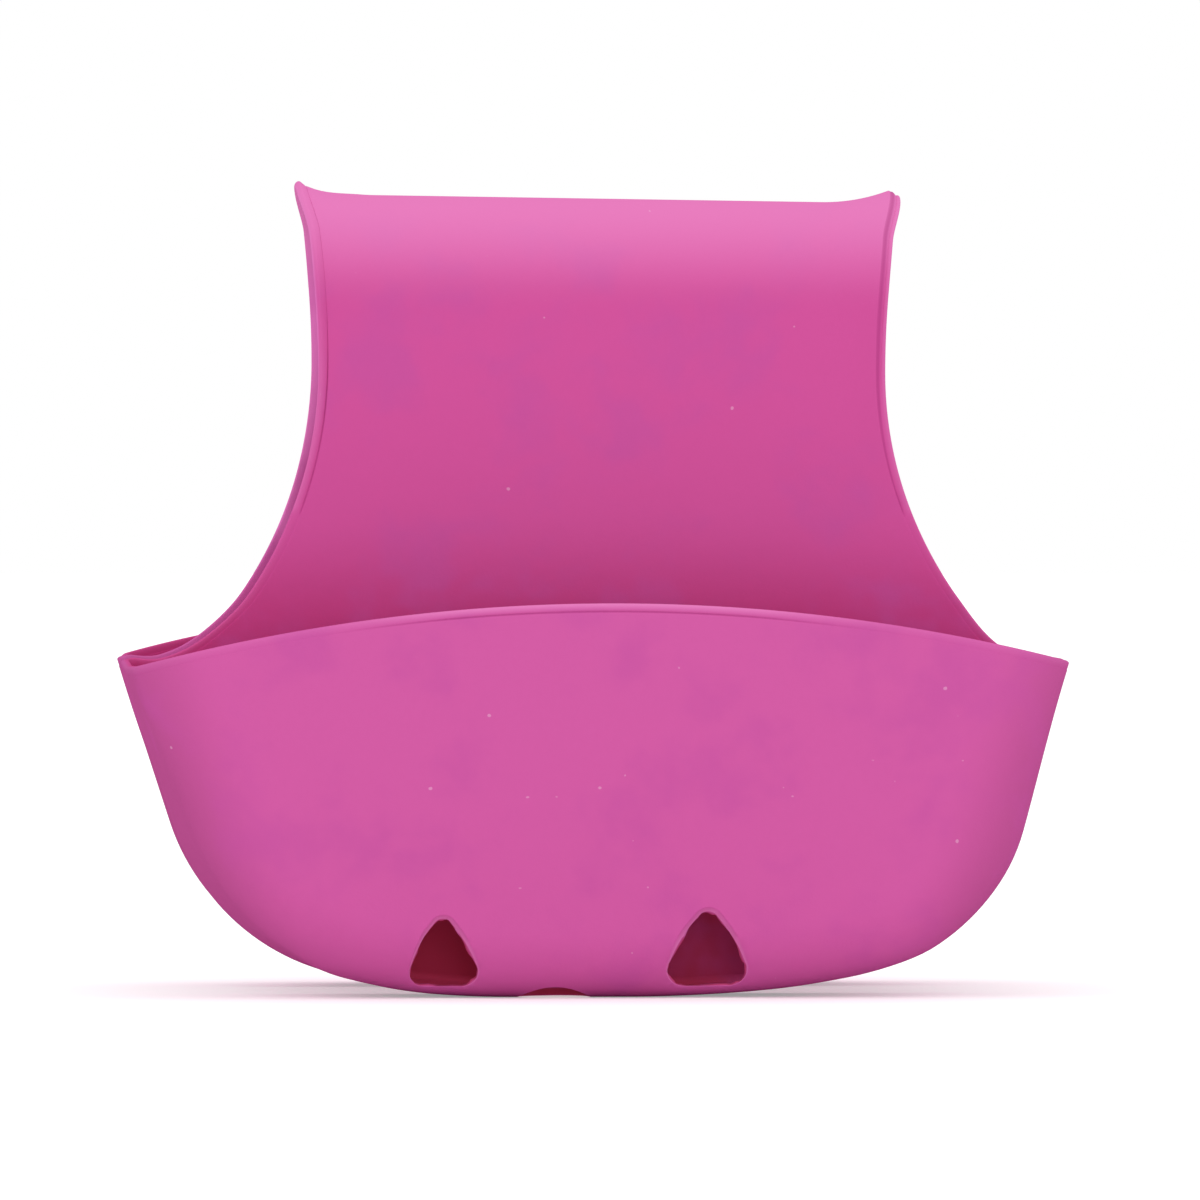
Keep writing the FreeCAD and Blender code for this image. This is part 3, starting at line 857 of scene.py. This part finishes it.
def wall_tree():
    """Node tree that turns a middle surface into a wall with a strip along its edges."""
    tree = bpy.data.node_groups.new("edged_wall", "GeometryNodeTree")
    kinds = {"Geometry": "Geometry", **dict.fromkeys(WALL_INPUTS, "Float"), "Material": "Material"}
    for name, kind in kinds.items():
        socket = tree.interface.new_socket(name, in_out="INPUT", socket_type="NodeSocket" + kind)
        if kind == "Float":
            socket.subtype = "DISTANCE"
    tree.interface.new_socket("Geometry", in_out="OUTPUT", socket_type="NodeSocketGeometry")
    given = node_at(tree, "NodeGroupInput").outputs
    result = node_at(tree, "NodeGroupOutput").inputs

    half = half_thickness(tree, given)
    joined = node_at(tree, "GeometryNodeJoinGeometry")
    for sign in (1.0, -1.0):
        feed(tree, joined.inputs["Geometry"], wall_side(tree, given["Geometry"], half, sign))
    wall = joined.outputs["Geometry"]
    finishing = (
        ("MergeByDistance", {"Distance": WALL_WELD}),
        ("RealizeInstances", {}),
        ("SetMaterial", {"Material": given["Material"]}),
    )
    for kind, inputs in finishing:
        wall = node_at(tree, "GeometryNode" + kind, {"Geometry": wall, **inputs}).outputs["Geometry"]
    feed(tree, result["Geometry"], wall)
    return tree


edged_wall = wall_tree()
print("node tree with", len(edged_wall.nodes), "nodes")

# %% [markdown]
# ## Parting the surface
# Each zone becomes a sheet of its own. Its points keep the normals of the whole surface, so that neighbours
# still meet exactly; normals of the parted sheet would open a gap. Where a sheet was parted, a second row on
# the same place gets no thickness and so closes the cut.


# %% Sheets of the zones
def mesh_data(name, mesh):
    """A finished bmesh as mesh data."""
    data = bpy.data.meshes.new(name)
    mesh.to_mesh(data)
    mesh.free()
    return data


def zone_sheet(zone):
    """Middle surface of one zone as a mesh, with the whole surface's normals."""
    part = bmesh.new()
    gaps = part.verts.layers.float.new("edge_gap")
    strips = part.verts.layers.float.new("strip")
    opened = part.verts.layers.float.new("open")
    normals = part.verts.layers.float_vector.new("wall_normal")
    twins = {}
    index = zones.index(zone)
    for face in skin.faces:
        if face[zone_layer] != index:
            continue
        for vert in face.verts:
            if vert not in twins:
                twin = part.verts.new(vert.co)
                twin[gaps] = vert[gap_layer]
                twin[strips] = vert[strip_layer]
                twin[opened] = 1.0
                twin[normals] = vert.normal
                twins[vert] = twin
        part.faces.new([twins[v] for v in face.verts]).smooth = True

    cuts = []
    for vert, twin in twins.items():
        for edge in vert.link_edges:
            sides = {f[zone_layer] for f in edge.link_faces}
            other = twins.get(edge.other_vert(vert))
            if len(sides) == 2 and other and index in sides:
                cuts.append(part.edges.get([twin, other]))
    made = bmesh.ops.extrude_edge_only(part, edges=list(dict.fromkeys(cuts)))
    for item in made["geom"]:
        if isinstance(item, bmesh.types.BMVert):
            item[opened] = 0.0
    return mesh_data(zone, part)


sheets = {zone: zone_sheet(zone) for zone in zones}
skin.free()
print(len(sheets), "sheets")

# %% [markdown]
# ## Thickening the sheets
# Each sheet gets the wall's tree as a modifier. The result is then turned into a plain mesh and the modifier
# removed, because what follows, the cutting of the drains and the bending, needs a finished mesh.


# %% Closed pieces
def in_scene(name, data):
    """A new object with this data, put into the scene."""
    obj = bpy.data.objects.new(name, data)
    bpy.context.scene.collection.objects.link(obj)
    return obj


def plain_mesh(obj):
    """The object's mesh with its modifiers worked in, and the modifiers removed."""
    graph = bpy.context.evaluated_depsgraph_get()
    mesh = bpy.data.meshes.new_from_object(obj.evaluated_get(graph))
    obj.modifiers.clear()
    obj.data = mesh
    return mesh


def thick_piece(zone):
    """A zone of the moulding as a closed wall."""
    obj = in_scene(zone, sheets[zone])
    modifier = obj.modifiers.new("wall", "NODES")
    modifier.node_group = edged_wall
    for item in edged_wall.interface.items_tree:
        if item.in_out == "INPUT" and item.name in WALL_INPUTS:
            modifier[item.identifier] = WALL_INPUTS[item.name]
    plain_mesh(obj)
    return obj


pieces = {zone: thick_piece(zone) for zone in zones}
for zone, obj in pieces.items():
    print(zone, len(obj.data.polygons), "faces")

# %% [markdown]
# ## Outline of a drain
# Two rounded triangles at the foot of each face let the water out. Such a triangle is three arcs joined by
# flanks that bulge a little. It could be a rounded curve object, but the cutter needs the same number of
# points in each of its outlines, wide or narrow, and this gives them.

# %% Rounded triangle
DRAIN_FOOT = 2.8 * MM
DRAIN_HEIGHT = 17.5 * MM
DRAIN_WIDTH = 17.2 * MM
DRAIN_FOOT_RADIUS = 3.9 * MM
DRAIN_TOP_RADIUS = 2.4 * MM
DRAIN_BULGE = 0.5 * MM
FOOT_POINTS, TOP_POINTS, FLANK_POINTS, SILL_POINTS = 15, 11, 9, 7


def triangle_outline(grow):
    """Rounded triangle on its foot, as points in (x, z) that run round it."""
    rise = DRAIN_HEIGHT - DRAIN_FOOT_RADIUS - DRAIN_TOP_RADIUS
    run = DRAIN_WIDTH / 2 - DRAIN_FOOT_RADIUS
    side = math.pi / 2 + math.atan2(run, rise)
    side += math.asin((DRAIN_FOOT_RADIUS - DRAIN_TOP_RADIUS) / math.hypot(run, rise))
    foot_centre = (run, DRAIN_FOOT + DRAIN_FOOT_RADIUS)
    top_centre = (0, DRAIN_FOOT + DRAIN_HEIGHT - DRAIN_TOP_RADIUS)
    low = polar(foot_centre, DRAIN_FOOT_RADIUS + grow, np.linspace(0, side, FOOT_POINTS))
    cap_turns = np.linspace(side, 2 * math.pi - side, TOP_POINTS)
    cap = polar(top_centre, DRAIN_TOP_RADIUS + grow, cap_turns)
    share = np.linspace(0, 1, FLANK_POINTS)[1:-1, None]
    flank = low[-1] + (cap[0] - low[-1]) * share
    flank = flank + 4 * DRAIN_BULGE * share * (1 - share) * [math.sin(side), -math.cos(side)]
    right = np.concatenate([low, flank])
    left = right[::-1] * [-1, 1]
    sill = left[-1] + (right[0] - left[-1]) * np.linspace(0, 1, SILL_POINTS)[1:-1, None]
    return np.concatenate([right, cap, left, sill])


print(len(triangle_outline(0.0)), "points round a drain")

# %% [markdown]
# ## Rings of the cutters
# A cutter is a closed shell through rings of points. A triangle's rings follow the rounded front edge of the
# pocket. They are wider at the outer skin, which leaves a chamfer, and the inner ones waver like rubber that
# was trimmed by hand. The two drains differ a little in size. A straight cylinder cuts the floor's drain.

# %% Outer skin at the pocket's foot
DRAIN_MIDDLE = DRAIN_FOOT + DRAIN_HEIGHT * 0.4


def skin_point(x, height):
    """Points of the outer skin at the pocket's foot, on the face or on its rounded front edge."""
    past = np.clip(np.abs(x) - FLOOR_HALF_LENGTH, 0, None)
    top = SWEEP_RADIUS - np.sqrt(SWEEP_RADIUS ** 2 - past ** 2) + FRONT_EDGE_RADIUS
    below = np.clip(top - height, 0, FRONT_EDGE_RADIUS)
    forward = np.sqrt(FRONT_EDGE_RADIUS ** 2 - below ** 2)
    y = np.where(height < top, face_y(top, FRONT_EDGE_RADIUS) - forward, face_y(height, 0.0))
    return np.stack([x, y, height], -1)


print(f"skin {-skin_point(0.0, DRAIN_MIDDLE)[1] / MM:.1f} mm in front of the ridge's middle")

# %% Cutters of the drains
LEFT_DRAIN = {"x": -30.5 * MM, "phase": 0.4, "width": 1.08, "size": 0.91}
RIGHT_DRAIN = {"x": 28.4 * MM, "phase": 2.1, "width": 0.86, "size": 1.0}
DRAIN_CHAMFER = 1.1 * MM
DRAIN_FLASH = 0.3 * MM
DRAIN_WAVER = 0.22 * MM
FLOOR_DRAIN_RADIUS = 8.5 * MM
FLOOR_DRAIN_X = -4.0 * MM
FLOOR_DRAIN_DEPTH = OUTER_RADIUS + FLOOR_DEPTH / 2 + 2.2 * MM
FLOOR_DRAIN_POINTS = 64
FLOOR_DRAIN_RINGS = np.linspace(0.15 * WALL, 2 * WALL, 7)
CUT = 6.0 * MM
SKIN_GAP = 0.05 * MM


def triangle_cutter(x, phase, width, size):
    """Rings of a drain's cutter, from outside the skin to inside the pocket."""
    wide = triangle_outline(DRAIN_CHAMFER)
    narrow = triangle_outline(0.0)
    turn = np.linspace(0, 2 * math.pi, len(narrow), endpoint=False) + phase
    waver = DRAIN_WAVER * (np.sin(5 * turn) + 0.6 * np.sin(11 * turn + phase) + 0.4 * np.sin(17 * turn))
    away = narrow - [0, DRAIN_MIDDLE]
    trimmed = narrow + away / np.linalg.norm(away, axis=1)[:, None] * (waver - DRAIN_FLASH)[:, None]
    steps = [
        (wide, -CUT), (wide, -SKIN_GAP), (narrow, DRAIN_CHAMFER), (trimmed, WALL), (trimmed, 2 * CUT),
    ]
    rings = []
    for outline, depth in steps:
        outline = (outline - [0, DRAIN_FOOT]) * [width * size, size] + [0, DRAIN_FOOT]
        rings.append(skin_point(outline[:, 0] + x, outline[:, 1]) + [0, depth, 0])
    return rings


def round_cutter():
    """Rings of the floor drain's cutter, close together where they pass through the floor."""
    turn = np.linspace(0, 2 * math.pi, FLOOR_DRAIN_POINTS, endpoint=False)
    x = FLOOR_DRAIN_X + FLOOR_DRAIN_RADIUS * np.cos(turn)
    y = -FLOOR_DRAIN_DEPTH + FLOOR_DRAIN_RADIUS * np.sin(turn)
    heights = [-CUT, *FLOOR_DRAIN_RINGS, 2 * CUT]
    return [np.stack([x, y, np.full_like(x, h)], -1) for h in heights]


print(len(triangle_cutter(**LEFT_DRAIN)), "rings for a triangle,", len(round_cutter()), "for the floor")

# %% [markdown]
# ## Cutting the drains
# One pocket's cutters form one object, so a single Boolean cuts all its drains; several in a row fail more
# easily on thin walls. The cutters lean with the rubber. They carry the same point values as the wall, so
# the cut faces get the edge strip's painted highlight outside and painted shade inside.

# %% Cutter of one pocket
# Rings whose cut faces get the edge strip's painted highlight.
HIGHLIGHT_RINGS = 3


def add_shell(mesh, rings, highlight_rings):
    """Adds a closed shell. Its first rings give the cut faces the edge strip's painted highlight, the others
    painted shade.
    """
    loops = [[mesh.verts.new(p) for p in ring] for ring in rings]
    layers = mesh.verts.layers.float
    for number, loop in enumerate(loops):
        highlighted = number < highlight_rings
        for vert in loop:
            vert[layers["edge_gap"]] = 0.0 if highlighted else FAR
            vert[layers["strip"]] = 1.0
            vert[layers["inside"]] = 0.0 if highlighted else 1.0
    for first, second in zip(loops, loops[1:]):
        for i in range(len(first)):
            j = (i + 1) % len(first)
            mesh.faces.new([first[i], first[j], second[j], second[i]])
    mesh.faces.new(loops[0][::-1])
    mesh.faces.new(loops[-1])


def drain_cutter(front):
    """The cutters of one pocket's drains as one object."""
    mesh = bmesh.new()
    for name in ("edge_gap", "strip", "inside"):
        mesh.verts.layers.float.new(name)
    left, right = triangle_cutter(**LEFT_DRAIN), triangle_cutter(**RIGHT_DRAIN)
    for rings, highlight_rings in ((left, HIGHLIGHT_RINGS), (right, HIGHLIGHT_RINGS), (round_cutter(), 0)):
        leaned = [lean(ring * [1, 1 if front else -1, 1], front) for ring in rings]
        add_shell(mesh, leaned, highlight_rings)
    bmesh.ops.recalc_face_normals(mesh, faces=mesh.faces)
    return in_scene("drain_cutter", mesh_data("drain_cutter", mesh))


# The rubbed edge printed here is the edge strip's painted highlight.
print(HIGHLIGHT_RINGS, "rings of a triangle leave a rubbed edge")

# %% Cut the drains
SHARP = math.radians(42)


def cut_drains(obj, front):
    """Cuts the three drains into a pocket."""
    cutter = drain_cutter(front)
    modifier = obj.modifiers.new("drains", "BOOLEAN")
    modifier.operation = "DIFFERENCE"
    modifier.solver = "MANIFOLD"
    modifier.object = cutter
    mesh = plain_mesh(obj)
    bpy.data.objects.remove(cutter)
    mesh.materials.clear()
    mesh.materials.append(rubber)


for side in ("front", "rear"):
    cut_drains(pieces[f"{side}_pocket"], side == "front")
for obj in pieces.values():
    obj.data.set_sharp_from_angle(angle=SHARP)
    print(obj.name, len(obj.data.polygons), "faces")

# %% [markdown]
# ## Moving with the frame
# Each stretch of the fold bends between the two bodies of its hinge. A pocket bends between its leg and its
# face, across a slanted plane through the mouth's hinge, so the gussets give way softly. Riding each piece
# on one body would be simpler, but the rubber would then break open at every hinge.

# %% Bend the pieces
MOUTH_LEAN = math.radians(8)
MOUTH_BEHIND = 14.0 * MM
MOUTH_AHEAD = 8.0 * MM
LEG_NODES = ("hanging_panel", "pocket_floor", "pocket_face", "left_gusset", "right_gusset")

for side, sign in (("front", -1), ("rear", 1)):
    bodies = ["saddle_ridge", *(f"{side}_strip_{n}" for n in range(1, BENDS)), f"{side}_leg"]
    for number in range(1, BENDS + 1):
        obj = pieces[f"{side}_fold_{number}"]
        ends = []
        for turn in ((number - 1) * BEND_STEP, number * BEND_STEP):
            ends.append((0, sign * MID_RADIUS * math.sin(turn), CROWN_AXIS + MID_RADIUS * math.cos(turn)))
        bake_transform(obj, bodies[number - 1], bodies[number], start=ends[0], end=ends[1])
        if number < BENDS:
            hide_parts(f"{side}_saddle_strip_{number}")
    pocket = pieces[f"{side}_pocket"]
    hinge = Vector(joints[f"{side}_mouth"]["pos_m"])
    ahead = Vector((0, sign * math.cos(MOUTH_LEAN), math.sin(MOUTH_LEAN)))
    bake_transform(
        pocket, f"{side}_leg", f"{side}_face",
        start=hinge - ahead * MOUTH_BEHIND, end=hinge + ahead * MOUTH_AHEAD,
    )
    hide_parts(*(f"{side}_{node}" for node in LEG_NODES))
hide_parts("saddle_ridge")
print(len(pieces), "pieces bend with", len(joints), "hinges")

# %% [markdown]
# ## Floor
# The caddy stands on a plain white floor that runs past every horizon. More light would make the floor white
# but bleach the rubber, so the floor glows a little instead. It does so only for rays that look at it, not
# for those that light other things, and it still takes the caddy's faint shadow.

# %% Floor
FLOOR_RADIUS = 8.0
FLOOR_EDGES = 96
FLOOR_TONES = ((0.89, 0.89, 0.89, 1), (0.91, 0.91, 0.91, 1))
FLOOR_CLOUDS = (3, 2)
FLOOR_ROUGHNESS = 0.9
FLOOR_GLOW = 0.3
WHITE = (1, 1, 1, 1)


def looked_at(tree):
    """1 for what is seen straight, mirrored or through something, and 0 for what only lights others."""
    path = node_at(tree, "ShaderNodeLightPath").outputs
    seen = path["Is Camera Ray"]
    for ray in ("Is Glossy Ray", "Is Transmission Ray"):
        seen = calc(tree, "MAXIMUM", seen, path[ray])
    return seen


def floor_material():
    """Matte white with a faint variation and its own glow."""
    material, tree, shader, place = plain_material("pale_floor")
    tone = mix_colour(tree, noise(tree, place, *FLOOR_CLOUDS), *FLOOR_TONES)
    feed(tree, shader["Base Color"], tone)
    feed(tree, shader["Roughness"], FLOOR_ROUGHNESS)
    feed(tree, shader["Specular IOR Level"], 0.0)
    strength = ramp(tree, looked_at(tree), 0, 1, 0, FLOOR_GLOW)
    glow = node_at(tree, "ShaderNodeEmission", {"Color": WHITE, "Strength": strength}).outputs["Emission"]
    matte = tree.nodes["Principled BSDF"].outputs["BSDF"]
    both = node_at(tree, "ShaderNodeAddShader", {0: matte, 1: glow}).outputs["Shader"]
    feed(tree, tree.nodes["Material Output"].inputs["Surface"], both)
    return material


def floor():
    """A round floor, wide enough to reach past the horizon of every view."""
    mesh = bmesh.new()
    bmesh.ops.create_circle(mesh, cap_ends=True, segments=FLOOR_EDGES, radius=FLOOR_RADIUS)
    obj = in_scene("floor", mesh_data("floor", mesh))
    obj.data.materials.append(floor_material())
    return obj


floor()
print(f"floor {2 * FLOOR_RADIUS:.0f} m across")

# %% [markdown]
# ## Light
# The light is soft and comes from all around, as under a bright sky. A small lamp above brings out the round
# of the ridge, and one in front keeps the pocket even. Stronger lamps would give hard shadows under the rim
# and wash out the colour.

# %% Lamps and surroundings
AMBIENT = 1.0
HEART = (0, 0, 0.09)


def soft_lamp(name, place, size, watts):
    """A square area lamp that points at the heart of the caddy."""
    data = bpy.data.lights.new(name, "AREA")
    data.size = size
    data.energy = watts
    lamp = in_scene(name, data)
    lamp.location = place
    lamp.rotation_mode = "QUATERNION"
    lamp.rotation_quaternion = (Vector(HEART) - Vector(place)).to_track_quat("-Z", "Y")


soft_lamp("top_lamp", (0, 0, 1.0), size=0.6, watts=0.6)
soft_lamp("front_lamp", (0.1, -2.4, 0.3), size=0.6, watts=6)

world = bpy.data.worlds.new("studio")
world.use_nodes = True
bpy.context.scene.world = world
sky = world.node_tree.nodes["Background"]
sky.inputs["Color"].default_value = WHITE
sky.inputs["Strength"].default_value = AMBIENT
bpy.context.scene.view_settings.view_transform = "Standard"
print("ambient", AMBIENT)

# %% [markdown]
# ## Camera
# The caddy is seen almost straight from the front, a little from the left and hardly from above. The outline
# shows next to no perspective, so the camera stands far away and has a long lens, which is worked out from
# the width that it should take in.

# %% Camera
VIEW_AZIMUTH = math.radians(-2.95)
VIEW_ELEVATION = math.radians(0.8)
VIEW_DISTANCE = 3.5
VIEW_WIDTH = 0.2797
VIEW_TARGET = Vector((1.6 * MM, -MID_RADIUS, 91.7 * MM))

camera = in_scene("camera", bpy.data.cameras.new("camera"))
back = Vector((
    math.sin(VIEW_AZIMUTH) * math.cos(VIEW_ELEVATION),
    -math.cos(VIEW_AZIMUTH) * math.cos(VIEW_ELEVATION),
    math.sin(VIEW_ELEVATION),
))
camera.location = VIEW_TARGET + back * VIEW_DISTANCE
camera.rotation_mode = "QUATERNION"
camera.rotation_quaternion = (-back).to_track_quat("-Z", "Y")
camera.data.lens = camera.data.sensor_width * VIEW_DISTANCE / VIEW_WIDTH
bpy.context.scene.camera = camera
print(f"lens {camera.data.lens:.0f} mm at {VIEW_DISTANCE} m")
